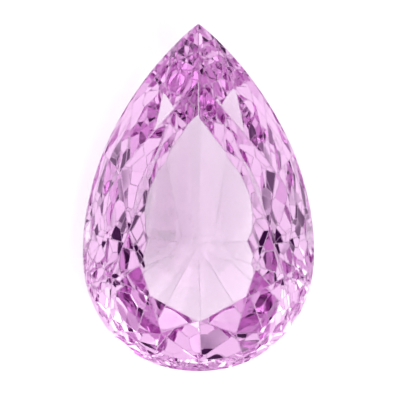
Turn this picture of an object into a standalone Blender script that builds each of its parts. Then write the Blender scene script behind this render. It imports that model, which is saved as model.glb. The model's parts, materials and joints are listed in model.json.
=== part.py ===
"""Pear-cut kunzite: one clear crystal, lying on a facet of its pavilion.

The stone is cut the way a faceter cuts it. A pear-shaped blank is raised from a flat
outline, and every facet is a plane that takes off what lies outside it. While it is
cut the stone stands table up: +Y runs to the pointed tip, +Z to the table, z = 0 is the
girdle's upper edge, and y = 0 is where the stone is widest. An azimuth is counted from
+X towards the tip, and a slope from the plane of the girdle. The finished stone is
turned over onto its resting facet, with its tip still towards +Y.
"""

import math
import random
from collections import namedtuple

import bmesh
import bpy
import numpy as np
from mathutils import Matrix, Vector

MM = 0.001
NAME = "kunzite"

# Driving dimensions
HALF_WIDTH = 7.0 * MM
TIP_REACH = 13.84 * MM
HEAD_REACH = 7.16 * MM
CROWN_HEIGHT = 2.5 * MM
GIRDLE_THICKNESS = 0.43 * MM
PAVILION_DEPTH = 7.27 * MM
CULET_Y = 0.51 * MM

# Shape of the outline: a flank that straightens to the tip, and a full round head
FLANK_POWER = 0.9
HEAD_POWER = 2.1
RIM_STEPS = 34
RIM_FINENESS = 600
PROFILE_STEPS = 200

# Table corners, from the tip round to the head, on the right side
TABLE_CORNERS = {
    "tip": (0.0, 10.30 * MM),
    "upper": (1.41 * MM, 8.73 * MM),
    "side": (4.20 * MM, 1.28 * MM),
    "lower": (2.95 * MM, -2.51 * MM),
    "head": (0.0, -4.07 * MM),
}

# Main crown facets: the table corner that each one meets, its azimuth and its slope
MAINS = {
    "upper": (36.0, 46.1),
    "side": (-1.1, 42.4),
    "lower": (-34.5, 37.8),
    "head": (-90.0, 37.1),
}

# Star facets: the two table corners that each one joins, and its slope
STARS = (
    ("tip", "upper", 34.6),
    ("upper", "side", 12.4),
    ("side", "lower", 27.4),
    ("lower", "head", 18.4),
)

# How far along Y, on the rim, the facets that border the girdle meet each other
RIM_STATIONS = tuple(y * MM for y in (13.84, 10.23, 5.99, 1.31, -1.87, -4.68, -6.58, -7.16))
HEAD_MAIN_END = -6.44 * MM

# Facets round the culet: azimuth, slope, and how far below the culet the plane would pass
CULET_FACETS = (
    (-77.0, 24.6, 0.0),
    (-53.0, 24.6, 0.0),
    (-22.7, 23.9, 0.0),
    (11.6, 22.6, 0.0),
    (42.3, 12.8, 0.0),
    (-80.0, 31.5, 0.16 * MM),
    (-52.0, 31.1, 0.16 * MM),
    (-30.0, 30.7, 0.27 * MM),
    (-6.0, 30.7, 0.24 * MM),
    (28.0, 23.6, 0.05 * MM),
    (50.0, 12.4, 0.04 * MM),
    (44.3, 14.4, 0.19 * MM),
    (62.6, 11.0, 0.04 * MM),
)

# One more of them, on the left, is the facet that the stone lies on
RESTING_FACET = (163.0, 30.7, 0.22 * MM)

# Rows of facets from there out to the girdle, each offset by half a facet from the next.
# They run parallel to the rim, and steepen from the first slope to the last towards it.
ROWS = 6
ROWS_WIDTH = 3.88 * MM
ROW_SLOPES = (42.5, 48.5, 56.2, 70.8)
ROW_FACETS = 16
ROW_END = 0.985

# Above 1 the facets crowd together round the head, where the rim turns fastest
HEAD_CROWDING = 1.6

# Small errors of a hand-cut stone, in degrees
CUTTING_SEED = 5
CROWN_ERROR = 0.25
CULET_ERROR = 0.35
ROW_ERROR = 0.5

CUT_TOLERANCE = 1e-7
LILAC = (0.86, 0.62, 0.86, 1.0)
CRYSTAL_IOR = 1.665

Plane = namedtuple("Plane", "normal point")


def half_width(y):
    """Half the stone's width at a place along Y."""
    if y >= 0:
        return HALF_WIDTH * max(0.0, 1 - (y / TIP_REACH) ** 2) ** FLANK_POWER
    return HALF_WIDTH * max(0.0, 1 - (-y / HEAD_REACH) ** HEAD_POWER) ** (1 / HEAD_POWER)


def rim_curve(steps):
    """Points of the outline's right half, from the head to the tip."""
    turn = np.linspace(0, math.pi / 2, steps + 1)
    head = [-HEAD_REACH * math.cos(a) ** (2 / HEAD_POWER) for a in turn[:-1]]
    flank = [TIP_REACH * math.sin(a) for a in turn]
    return np.array([(half_width(y), y) for y in head + flank])


def rim_station(share, fine=rim_curve(RIM_FINENESS)):
    """Point of the right rim at a share of its length from the head, and the azimuth it faces."""
    steps = np.diff(fine, axis=0)
    along = np.concatenate([[0], np.cumsum(np.hypot(*steps.T))])
    at = share * along[-1]
    point = np.array([np.interp(at, along, fine[:, i]) for i in (0, 1)])
    ahead = np.array([np.interp(at, along, np.gradient(fine[:, i], along)) for i in (0, 1)])
    return point, math.degrees(math.atan2(-ahead[0], ahead[1]))


def sloped(azimuth, slope, point, up=1):
    """Plane through a point, facing up (crown) or down (pavilion)."""
    azimuth, slope = math.radians(azimuth), math.radians(slope)
    out = math.sin(slope)
    normal = Vector((math.cos(azimuth) * out, math.sin(azimuth) * out, up * math.cos(slope)))
    return Plane(normal, Vector(point))


def through(*points):
    """Crown plane through three points, that turns about their middle."""
    a, b, c = (Vector(p) for p in points)
    normal = (b - a).cross(c - a).normalized()
    return Plane(normal if normal.z > 0 else -normal, (a + b + c) / 3)


def meeting(*planes):
    """The point that three planes share."""
    rows = Matrix([plane.normal for plane in planes])
    return rows.inverted() @ Vector([plane.normal.dot(plane.point) for plane in planes])


def mirrored(plane):
    """The same facet on the stone's left side."""
    return Plane(*(Vector((-v.x, v.y, v.z)) for v in plane))


def both_sides(planes, draw, error):
    """Each facet on the right and on the left, each with its own small error of angle."""
    made = []
    for plane in planes:
        for side in (plane, mirrored(plane)):
            tilt = Vector([math.radians(draw.gauss(0, error)) for _ in range(3)])
            made.append(Plane((side.normal + tilt.cross(side.normal)).normalized(), side.point))
    return made


def crown(draw):
    """Table, stars, mains and the facets that border the girdle."""
    corners = {key: (x, y, CROWN_HEIGHT) for key, (x, y) in TABLE_CORNERS.items()}
    mains = {key: sloped(*angles, corners[key]) for key, angles in MAINS.items()}
    stars = []
    for first, second, slope in STARS:
        (x0, y0, _), (x1, y1, _) = corners[first], corners[second]
        azimuth = math.degrees(math.atan2(x1 - x0, y0 - y1))
        stars.append(sloped(azimuth, slope, corners[first]))
    tips = [
        meeting(stars[0], mirrored(stars[0]), mains["upper"]),
        meeting(stars[1], mains["upper"], mains["side"]),
        meeting(stars[2], mains["side"], mains["lower"]),
        meeting(stars[3], mains["lower"], mains["head"]),
    ]
    rim = [(half_width(y), y, 0) for y in RIM_STATIONS]
    drop = (TABLE_CORNERS["head"][1] - HEAD_MAIN_END) * math.tan(math.radians(MAINS["head"][1]))
    head_main_end = (0, HEAD_MAIN_END, CROWN_HEIGHT - drop)
    border = [
        through(tips[0], rim[0], rim[1]),
        through(tips[1], rim[1], rim[2]),
        through(tips[1], rim[2], rim[3]),
        through(tips[2], rim[3], rim[4]),
        through(tips[2], rim[4], rim[5]),
        through(tips[3], rim[5], rim[6]),
        through(tips[3], head_main_end, rim[7]),
    ]
    table = sloped(0, 0, corners["tip"])
    pairs = [mains["upper"], mains["side"], mains["lower"], *stars, *border]
    return [table, mains["head"], *both_sides(pairs, draw, CROWN_ERROR)]


def culet_facet(azimuth, slope, below):
    """Pavilion plane that crosses the line under the culet a little below it."""
    deep = -GIRDLE_THICKNESS - PAVILION_DEPTH - below
    return sloped(azimuth, slope, (0, CULET_Y, deep), up=-1)


def row_profile():
    """Of each row, innermost first: its distance in from the rim, its depth and its slope."""
    inward = np.linspace(0, ROWS_WIDTH, PROFILE_STEPS)
    slope = np.interp(inward, np.linspace(0, ROWS_WIDTH, len(ROW_SLOPES)), ROW_SLOPES[::-1])
    rise = np.tan(np.radians(slope))
    depth = np.concatenate([[0], np.cumsum((rise[1:] + rise[:-1]) / 2 * np.diff(inward))])
    places = np.linspace(ROWS_WIDTH, 0, ROWS)
    return [(place, np.interp(place, inward, depth), np.interp(place, inward, slope)) for place in places]


def row_facet(share, inward, depth, slope):
    """Pavilion plane that faces the rim at one station, and lies a little way in from it."""
    point, azimuth = rim_station(share)
    facing = np.array([math.cos(math.radians(azimuth)), math.sin(math.radians(azimuth))])
    x, y = point - inward * facing
    return sloped(azimuth, slope, (x, y, -GIRDLE_THICKNESS - depth), up=-1)


def pavilion(draw):
    """The facets round the culet, then the rows that run out to the girdle."""
    middle = [culet_facet(*angles) for angles in CULET_FACETS]
    planes = both_sides(middle, draw, CULET_ERROR)
    planes.append(mirrored(culet_facet(*RESTING_FACET)))
    for row, place in enumerate(row_profile()):
        shift = 0.5 if row % 2 == 0 else 0.0
        shares = [((i + shift) / ROW_FACETS) ** HEAD_CROWDING for i in range(ROW_FACETS)]
        facets = [row_facet(s, *place) for s in shares if s < ROW_END]
        planes += both_sides(facets, draw, ROW_ERROR)
    return planes


def collection_named(name):
    """A collection of that name in the scene."""
    made = bpy.data.collections.new(name)
    bpy.context.scene.collection.children.link(made)
    return made


def blank():
    """The pear outline as a slab, from the table's height to below the culet."""
    right = rim_curve(RIM_STEPS)
    left = right[-2:0:-1] * (-1, 1)
    points = np.concatenate([right, left])
    curve = bpy.data.curves.new("blank", "CURVE")
    curve.dimensions = "2D"
    curve.fill_mode = "BOTH"
    curve.extrude = CROWN_HEIGHT + GIRDLE_THICKNESS + PAVILION_DEPTH
    spline = curve.splines.new("POLY")
    spline.points.add(len(points) - 1)
    spline.use_cyclic_u = True
    for point, (x, y) in zip(spline.points, points):
        point.co = (x, y, 0, 1)
    shape = bpy.data.objects.new("blank", curve)
    bpy.context.scene.collection.objects.link(shape)
    graph = bpy.context.evaluated_depsgraph_get()
    mesh = bpy.data.meshes.new_from_object(shape.evaluated_get(graph))
    bpy.data.objects.remove(shape)
    return mesh


def cut(stone, plane):
    """Takes off what lies outside the plane and closes the stone with the new facet."""
    everything = stone.verts[:] + stone.edges[:] + stone.faces[:]
    parted = bmesh.ops.bisect_plane(
        stone,
        geom=everything,
        dist=CUT_TOLERANCE,
        plane_co=plane.point,
        plane_no=plane.normal,
        clear_outer=True,
    )
    open_edges = [e for e in parted["geom_cut"] if isinstance(e, bmesh.types.BMEdge) and e.is_boundary]
    if open_edges:
        bmesh.ops.edgeloop_fill(stone, edges=open_edges)


def crystal():
    """Clear pale lilac, as polished spodumene."""
    material = bpy.data.materials.new("lilac crystal")
    material.use_nodes = True
    shader = material.node_tree.nodes["Principled BSDF"]
    shader.inputs["Base Color"].default_value = LILAC
    shader.inputs["Roughness"].default_value = 0.0
    shader.inputs["Metallic"].default_value = 0.0
    shader.inputs["IOR"].default_value = CRYSTAL_IOR
    shader.inputs["Transmission Weight"].default_value = 1.0
    return material


def lay_down(stone, resting):
    """Turns the stone onto a facet, tip towards +Y, and centres its footprint on the origin."""
    over = resting.normal.rotation_difference(Vector((0, 0, -1))).to_matrix()
    tip = over @ Vector((0, 1, 0))
    around = Matrix.Rotation(math.atan2(tip.x, tip.y), 3, "Z")
    bmesh.ops.rotate(stone, cent=(0, 0, 0), matrix=around @ over, verts=stone.verts)
    places = np.array([v.co for v in stone.verts])
    low, high = places.min(axis=0), places.max(axis=0)
    middle = (low + high) / 2
    bmesh.ops.translate(stone, vec=(-middle[0], -middle[1], -low[2]), verts=stone.verts)


def cut_stone():
    """The stone as a mesh, cut from its blank and laid on its resting facet."""
    mesh = blank()
    stone = bmesh.new()
    stone.from_mesh(mesh)
    bmesh.ops.remove_doubles(stone, verts=stone.verts, dist=CUT_TOLERANCE)
    draw = random.Random(CUTTING_SEED)
    resting = culet_facet(*RESTING_FACET)
    for plane in [*crown(draw), *pavilion(draw), resting]:
        cut(stone, plane)
    bmesh.ops.remove_doubles(stone, verts=stone.verts, dist=CUT_TOLERANCE)
    lay_down(stone, resting)
    bmesh.ops.recalc_face_normals(stone, faces=stone.faces)
    stone.to_mesh(mesh)
    stone.free()
    mesh.name = NAME
    return mesh


def main():
    for thing in list(bpy.data.objects):
        bpy.data.objects.remove(thing)
    mesh = cut_stone()
    mesh.materials.clear()
    mesh.materials.append(crystal())
    gem = bpy.data.objects.new(NAME, mesh)
    collection_named("pear-cut " + NAME).objects.link(gem)


if __name__ == "__main__":
    main()
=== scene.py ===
"""Pear-cut kunzite: wears and polishes the stone, and sets the table top, the light and the camera.

The stone lies on one facet of its pavilion, so its table facet slopes. The camera looks straight
down on that facet, with the stone's tip towards the top of the picture.
"""

import json
import math

import bmesh
import bpy
import numpy as np
from bpy.props import FloatProperty, FloatVectorProperty, PointerProperty
from mathutils import Matrix, Vector


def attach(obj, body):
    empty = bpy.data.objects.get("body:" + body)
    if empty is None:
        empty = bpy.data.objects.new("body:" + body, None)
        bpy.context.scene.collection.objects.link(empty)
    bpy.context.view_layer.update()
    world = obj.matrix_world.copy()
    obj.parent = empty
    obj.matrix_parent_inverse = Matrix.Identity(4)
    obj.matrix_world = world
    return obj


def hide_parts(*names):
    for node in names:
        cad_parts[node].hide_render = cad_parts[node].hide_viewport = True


bl_info = {
    "name": "Pear-Cut Kunzite",
    "version": (1, 0, 0),
    "blender": (4, 5, 0),
    "location": "View3D > Sidebar > Kunzite",
    "description": "Finishes a pear-cut kunzite as clear lilac crystal, and lights it on a pale table top",
    "category": "Object",
}

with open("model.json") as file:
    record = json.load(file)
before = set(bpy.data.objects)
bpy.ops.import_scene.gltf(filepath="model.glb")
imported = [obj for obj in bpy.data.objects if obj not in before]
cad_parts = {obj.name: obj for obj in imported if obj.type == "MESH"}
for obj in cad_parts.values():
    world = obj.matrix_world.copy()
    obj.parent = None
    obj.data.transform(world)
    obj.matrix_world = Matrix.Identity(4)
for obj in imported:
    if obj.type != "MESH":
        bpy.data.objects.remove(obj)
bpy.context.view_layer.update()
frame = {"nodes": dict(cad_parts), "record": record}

MM = 0.001
STONE = "kunzite"
FROSTED = "frosted"
WHITE = (1, 1, 1, 1)

# Corners this close are one, those this near a cutting plane lie on it, and faces this nearly in
# line are one facet
WELD = 0.0005 * MM
ON_PLANE = WELD / 100
SAME_FACET = math.radians(0.15)

# Edges that are blunter or shorter than this stay as they are
LEAST_TURN = math.radians(4)
LEAST_EDGE = 0.4 * MM

# Octaves of the polish waves above the first, and the strength of each beside the one below it
WAVE_OCTAVES = 1.0
WAVE_FADE = 0.4

# The table top's gap to the stone's resting facet, its mirror strength, where 0.5 is plain
# plastic, and the share of the glow's reach in which it glows in full
TABLE_GAP = 0.03 * MM
TABLE_MIRROR = 1.0
FULL_GLOW = 1 / 6

# Round patches of the tent, in degrees: how far each leans from straight over the stone's table
# facet, its turn from the stone's right side towards its tip, its reach and its blur
LAMP = (70, 118, 31, 12)
LENS_HOOD = (0, 0, 13.2, 2)
SIDE_CARD = (63, 0, 27.6, 5.7)
LOW_CARD = (30, 257, 12, 4.5)

# The share of the tent's light that the low card holds back
LOW_CARD_SHADE = 0.84

# Light is followed through this many bounces
BOUNCES = 32

# The camera sees nothing nearer than this share of its distance
NEAREST = 0.01

# The photograph: its width, and the box that the stone fills in it, in pixels
PICTURE_SIDE = 400
STONE_LEFT, STONE_RIGHT = 84, 313
STONE_TOP, STONE_BOTTOM = 26, 369


def table_axes():
    """The stone's own axes: across its table facet to the right, towards its tip, and out of the facet."""
    mount = next(m for m in frame["record"]["mounts"] if m["name"] == "table")
    out = Vector(mount["axis"]).normalized()
    tip = Vector((0, out.z, -out.y)).normalized()
    return tip.cross(out), tip, out


ACROSS, TIPWARD, OUTWARD = table_axes()


class Wire:
    """A socket of a shader tree, written into expressions like a number."""

    def __init__(self, tree, socket):
        self.tree = tree
        self.socket = socket

    def _math(self, operation, *values):
        return self.tree.node("ShaderNodeMath", {"operation": operation}, dict(enumerate(values)))["Value"]

    def __rsub__(self, other):
        return self._math("SUBTRACT", other, self)

    def __mul__(self, other):
        return self._math("MULTIPLY", self, other)

    __rmul__ = __mul__

    def along(self, direction):
        """How far this vector reaches along a fixed direction."""
        both = {0: self, 1: tuple(direction)}
        return self.tree.node("ShaderNodeVectorMath", {"operation": "DOT_PRODUCT"}, both)["Value"]

    def ramp(self, low, high):
        """Eases from 0 at the low value to 1 at the high one."""
        ends = {"Value": self, "From Min": low, "From Max": high}
        return self.tree.node("ShaderNodeMapRange", {"interpolation_type": "SMOOTHSTEP"}, ends)["Result"]


class Node:
    """A node that was added, read by the names of its outputs."""

    def __init__(self, tree, made):
        self.tree = tree
        self.made = made

    def __getitem__(self, output):
        return Wire(self.tree, self.made.outputs[output])


class Tree:
    """The shader tree of a material or of the room, emptied and ready to be filled."""

    def __init__(self, owner):
        owner.use_nodes = True
        self.nodes = owner.node_tree.nodes
        self.links = owner.node_tree.links
        self.nodes.clear()

    def node(self, kind, settings=None, inputs=None):
        """Adds a node: its kind, its settings, then the values or wires of its inputs."""
        made = self.nodes.new(kind)
        for name, value in (settings or {}).items():
            setattr(made, name, value)
        for name, value in (inputs or {}).items():
            if isinstance(value, Wire):
                self.links.new(value.socket, made.inputs[name])
            else:
                made.inputs[name].default_value = value
        return Node(self, made)


class StoneSettings(bpy.types.PropertyGroup):
    """What the cutter and the crystal decide."""

    ior: FloatProperty(
        name="Refractive index", description="How strongly the crystal bends light", default=1.665
    )
    lilac: FloatVectorProperty(
        name="Body colour",
        description="The colour that is left after a long way through the crystal",
        subtype="COLOR",
        default=(0.64, 0.13, 0.62),
        min=0.0,
        max=1.0,
    )
    depth_of_colour: FloatProperty(
        name="Depth of colour", description="How much light the crystal takes up, per metre", default=32.0
    )
    edge: FloatProperty(
        name="Edge width",
        description="Width of the flat that wear leaves along an edge",
        default=0.07 * MM,
        unit="LENGTH",
        precision=5,
    )
    wave_height: FloatProperty(
        name="Polish waves",
        description="Height of the slow waves that hand polishing leaves in a facet",
        default=0.035 * MM,
        unit="LENGTH",
        precision=6,
    )
    wave_length: FloatProperty(
        name="Polish wave length",
        description="Length of those waves",
        default=3.2 * MM,
        unit="LENGTH",
        precision=5,
    )
    # Painted sheen: a violet tint painted onto every reflection of the stone's surface. Polished kunzite
    # reflects white light.
    painted_sheen: FloatVectorProperty(
        name="Painted sheen colour",
        description="Violet painted onto the polished surface's reflections",
        subtype="COLOR",
        default=(0.3, 0.08, 0.3),
        min=0.0,
        max=1.0,
    )
    edge_grind: FloatProperty(
        name="Edge grind", description="Roughness of the worn edges, from 0, polished, to 1", default=0.45
    )


class StageSettings(bpy.types.PropertyGroup):
    """The table top, the light tent and the camera."""

    floor_colour: FloatVectorProperty(
        name="Table colour",
        description="Colour of the table top",
        subtype="COLOR",
        default=(0.82, 0.82, 0.82),
    )
    floor_glow: FloatProperty(
        name="Table glow", description="Light that comes up through it under the stone", default=0.42
    )
    glow_reach: FloatProperty(
        name="Glow reach",
        description="Distance from the stone at which the table's glow has faded away",
        default=100 * MM,
        unit="LENGTH",
    )
    floor_roughness: FloatProperty(
        name="Table roughness", description="From 0, mirror-smooth, to 1", default=0.1
    )
    floor_width: FloatProperty(
        name="Table width", description="Width of the table top", default=4.0, unit="LENGTH"
    )
    tent: FloatProperty(name="Tent light", description="Brightness of the white tent", default=1.25)
    lamp: FloatProperty(name="Lamp light", description="How much the lamp adds to the tent", default=1.4)
    cards: FloatVectorProperty(
        name="Card colour",
        description="Colour of the dark cards",
        subtype="COLOR",
        default=(0.08, 0.02, 0.10),
    )
    contrast: FloatProperty(
        name="Contrast", description="Tone curve of the picture, below 1 for deeper darks", default=0.75
    )
    camera_distance: FloatProperty(
        name="Camera distance", description="From the lens to the stone", default=0.25, unit="LENGTH"
    )


class KUNZITE_OT_polish_stone(bpy.types.Operator):
    """Gives the stone its clear lilac crystal and its worn facet edges"""

    bl_idname = "kunzite.polish_stone"
    bl_label = "Polish the Stone"

    def execute(self, context):
        settings = context.scene.kunzite_stone
        stone = worn_stone(settings.edge)
        stone.data.materials.append(lilac_crystal(settings))
        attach(stone, "root")
        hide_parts(STONE)
        return {"FINISHED"}


def worn_stone(width):
    """The cut stone, with a narrow flat in place of every sharp edge."""
    stone = bmesh.new()
    stone.from_mesh(frame["nodes"][STONE].data)
    bmesh.ops.remove_doubles(stone, verts=stone.verts, dist=WELD)
    bmesh.ops.dissolve_limit(stone, angle_limit=SAME_FACET, verts=stone.verts, edges=stone.edges)
    flats = []
    for edge in stone.edges:
        one, other = (facet.normal for facet in edge.link_faces)
        turn = one.angle(other)
        if turn > LEAST_TURN and edge.calc_length() > LEAST_EDGE:
            out = (one + other).normalized()
            middle = (edge.verts[0].co + edge.verts[1].co) / 2
            flats.append((middle - out * (width / 2 * math.tan(turn / 2)), out))
    frosted = stone.faces.layers.float.new(FROSTED)
    for place, out in flats:
        for flat in wear(stone, place, out):
            flat[frosted] = 1.0
    mesh = bpy.data.meshes.new("worn stone")
    stone.to_mesh(mesh)
    stone.free()
    made = bpy.data.objects.new("worn_stone", mesh)
    bpy.context.scene.collection.objects.link(made)
    return made


def wear(stone, place, out):
    """Takes off what stands out of a plane, closes the stone again, and gives the new faces."""
    bmesh.ops.bisect_plane(
        stone,
        geom=stone.verts[:] + stone.edges[:] + stone.faces[:],
        dist=ON_PLANE,
        plane_co=place,
        plane_no=out,
        clear_outer=True,
    )
    rim = [edge for edge in stone.edges if edge.is_boundary]
    return bmesh.ops.edgeloop_fill(stone, edges=rim)["faces"]


def lilac_crystal(settings):
    """Clear crystal that takes up green light along its depth, polished but for its worn edges."""
    material = bpy.data.materials.new("lilac crystal")
    tree = Tree(material)
    place = tree.node("ShaderNodeTexCoord")["Object"]
    waves = tree.node(
        "ShaderNodeTexNoise",
        inputs={
            "Vector": place,
            "Scale": 1 / settings.wave_length,
            "Detail": WAVE_OCTAVES,
            "Roughness": WAVE_FADE,
        },
    )
    polish = tree.node("ShaderNodeBump", inputs={"Distance": settings.wave_height, "Height": waves["Fac"]})
    frosted = tree.node("ShaderNodeAttribute", {"attribute_name": FROSTED})["Fac"]
    surface = tree.node(
        "ShaderNodeBsdfPrincipled",
        inputs={
            "Base Color": WHITE,
            "Roughness": settings.edge_grind * frosted,
            "IOR": settings.ior,
            "Transmission Weight": 1.0,
            # Painted violet sheen on the surface's reflections, where the real stone reflects white
            "Specular Tint": (*settings.painted_sheen, 1),
            "Normal": polish["Normal"],
        },
    )
    body = tree.node(
        "ShaderNodeVolumeAbsorption",
        inputs={"Color": (*settings.lilac, 1), "Density": settings.depth_of_colour},
    )
    tree.node("ShaderNodeOutputMaterial", inputs={"Surface": surface["BSDF"], "Volume": body["Volume"]})
    return material


class KUNZITE_OT_set_stage(bpy.types.Operator):
    """Sets the pale table top, the light tent and the camera"""

    bl_idname = "kunzite.set_stage"
    bl_label = "Set the Stage"

    def execute(self, context):
        settings = context.scene.kunzite_stage
        table_top(settings)
        light_tent(context.scene, settings)
        place_camera(context.scene, settings)
        trace_deep(context.scene, settings)
        return {"FINISHED"}


def table_top(settings):
    """A smooth pale top that glows around the stone, so that the stone throws hardly a shadow."""
    half = settings.floor_width / 2
    mesh = bpy.data.meshes.new("table top")
    corners = [(x * half, y * half, -TABLE_GAP) for x, y in ((-1, -1), (1, -1), (1, 1), (-1, 1))]
    mesh.from_pydata(corners, [], [(0, 1, 2, 3)])
    floor = bpy.data.objects.new("table_top", mesh)
    bpy.context.scene.collection.objects.link(floor)
    material = bpy.data.materials.new("white acrylic")
    tree = Tree(material)
    place = tree.node("ShaderNodeTexCoord")["Object"]
    away = tree.node("ShaderNodeVectorMath", {"operation": "LENGTH"}, {0: place})["Value"]
    surface = tree.node(
        "ShaderNodeBsdfPrincipled",
        inputs={
            "Base Color": (*settings.floor_colour, 1),
            "Roughness": settings.floor_roughness,
            "Specular IOR Level": TABLE_MIRROR,
            "Emission Color": 1 - away.ramp(settings.glow_reach * FULL_GLOW, settings.glow_reach),
            "Emission Strength": settings.floor_glow,
        },
    )
    tree.node("ShaderNodeOutputMaterial", inputs={"Surface": surface["BSDF"]})
    mesh.materials.append(material)


def patch(way, lean, turn, reach, blur):
    """1 in a round patch of the room, and 0 outside it."""
    lean, turn = math.radians(lean), math.radians(turn)
    sideways = ACROSS * math.cos(turn) + TIPWARD * math.sin(turn)
    middle = OUTWARD * math.cos(lean) + sideways * math.sin(lean)
    rim, full = (math.cos(math.radians(angle)) for angle in (reach + blur, reach - blur))
    return way.along(middle).ramp(rim, full)


def light_tent(scene, settings):
    """A white tent with one large soft lamp, and a dark hood and cards that give the stone its glints."""
    scene.world = bpy.data.worlds.new("light tent")
    tree = Tree(scene.world)
    way = tree.node("ShaderNodeTexCoord")["Generated"]
    tent = even_light(tree, WHITE, settings.tent)
    lamp = even_light(tree, WHITE, settings.tent + settings.lamp)
    cards = even_light(tree, (*settings.cards, 1), 1.0)
    lit = tree.node("ShaderNodeMixShader", inputs={0: patch(way, *LAMP), 1: tent, 2: lamp})["Shader"]
    bare = (1 - patch(way, *LENS_HOOD)) * (1 - patch(way, *SIDE_CARD))
    bare = bare * (1 - LOW_CARD_SHADE * patch(way, *LOW_CARD))
    seen = tree.node("ShaderNodeMixShader", inputs={0: bare, 1: cards, 2: lit})["Shader"]
    tree.node("ShaderNodeOutputWorld", inputs={"Surface": seen})


def even_light(tree, colour, strength):
    """Light of one colour, as bright from every side."""
    return tree.node("ShaderNodeBackground", inputs={"Color": colour, "Strength": strength})["Background"]


def place_camera(scene, settings):
    """Straight above the table facet, as far to the side of the stone as the photograph has it."""
    places = np.array([v.co for v in frame["nodes"][STONE].data.vertices])
    axes = np.array([ACROSS, TIPWARD, OUTWARD])
    spread = places @ axes.T
    low, high = spread.min(axis=0), spread.max(axis=0)
    pixel = (high[0] - low[0]) / (STONE_RIGHT - STONE_LEFT)
    middle = (low + high) / 2
    middle[0] += (PICTURE_SIDE / 2 - (STONE_LEFT + STONE_RIGHT) / 2) * pixel
    middle[1] -= (PICTURE_SIDE / 2 - (STONE_TOP + STONE_BOTTOM) / 2) * pixel
    aim = Vector(axes.T @ middle)
    data = bpy.data.cameras.new("camera")
    data.lens = data.sensor_width * settings.camera_distance / (PICTURE_SIDE * pixel)
    data.clip_start = settings.camera_distance * NEAREST
    camera = bpy.data.objects.new("camera", data)
    turn = Matrix((ACROSS, TIPWARD, OUTWARD)).transposed().to_4x4()
    camera.matrix_world = Matrix.Translation(aim + OUTWARD * settings.camera_distance) @ turn
    scene.collection.objects.link(camera)
    scene.camera = camera


def trace_deep(scene, settings):
    """Lets light cross the stone many times before it leaves, and keeps the tent's white white."""
    scene.cycles.max_bounces = BOUNCES
    scene.cycles.glossy_bounces = BOUNCES
    scene.cycles.transmission_bounces = BOUNCES
    scene.cycles.denoising_input_passes = "RGB"
    scene.view_settings.view_transform = "Standard"
    scene.view_settings.gamma = settings.contrast


class KUNZITE_PT_panel(bpy.types.Panel):
    """Lists the settings and the steps"""

    bl_idname = "KUNZITE_PT_panel"
    bl_label = "Pear-Cut Kunzite"
    bl_space_type = "VIEW_3D"
    bl_region_type = "UI"
    bl_category = "Kunzite"

    def draw(self, context):
        steps = {"kunzite_stone": KUNZITE_OT_polish_stone, "kunzite_stage": KUNZITE_OT_set_stage}
        for group, step in steps.items():
            box = self.layout.box()
            settings = getattr(context.scene, group)
            for name in settings.bl_rna.properties.keys():
                if name not in ("rna_type", "name"):
                    box.prop(settings, name)
            box.operator(step.bl_idname)


CLASSES = (
    StoneSettings,
    StageSettings,
    KUNZITE_OT_polish_stone,
    KUNZITE_OT_set_stage,
    KUNZITE_PT_panel,
)


def register():
    for kind in CLASSES:
        bpy.utils.register_class(kind)
    bpy.types.Scene.kunzite_stone = PointerProperty(type=StoneSettings)
    bpy.types.Scene.kunzite_stage = PointerProperty(type=StageSettings)


def unregister():
    del bpy.types.Scene.kunzite_stage
    del bpy.types.Scene.kunzite_stone
    for kind in reversed(CLASSES):
        bpy.utils.unregister_class(kind)


def main():
    """Builds the scene."""
    register()
    bpy.ops.kunzite.polish_stone()
    bpy.ops.kunzite.set_stage()


if __name__ == "__main__":
    main()
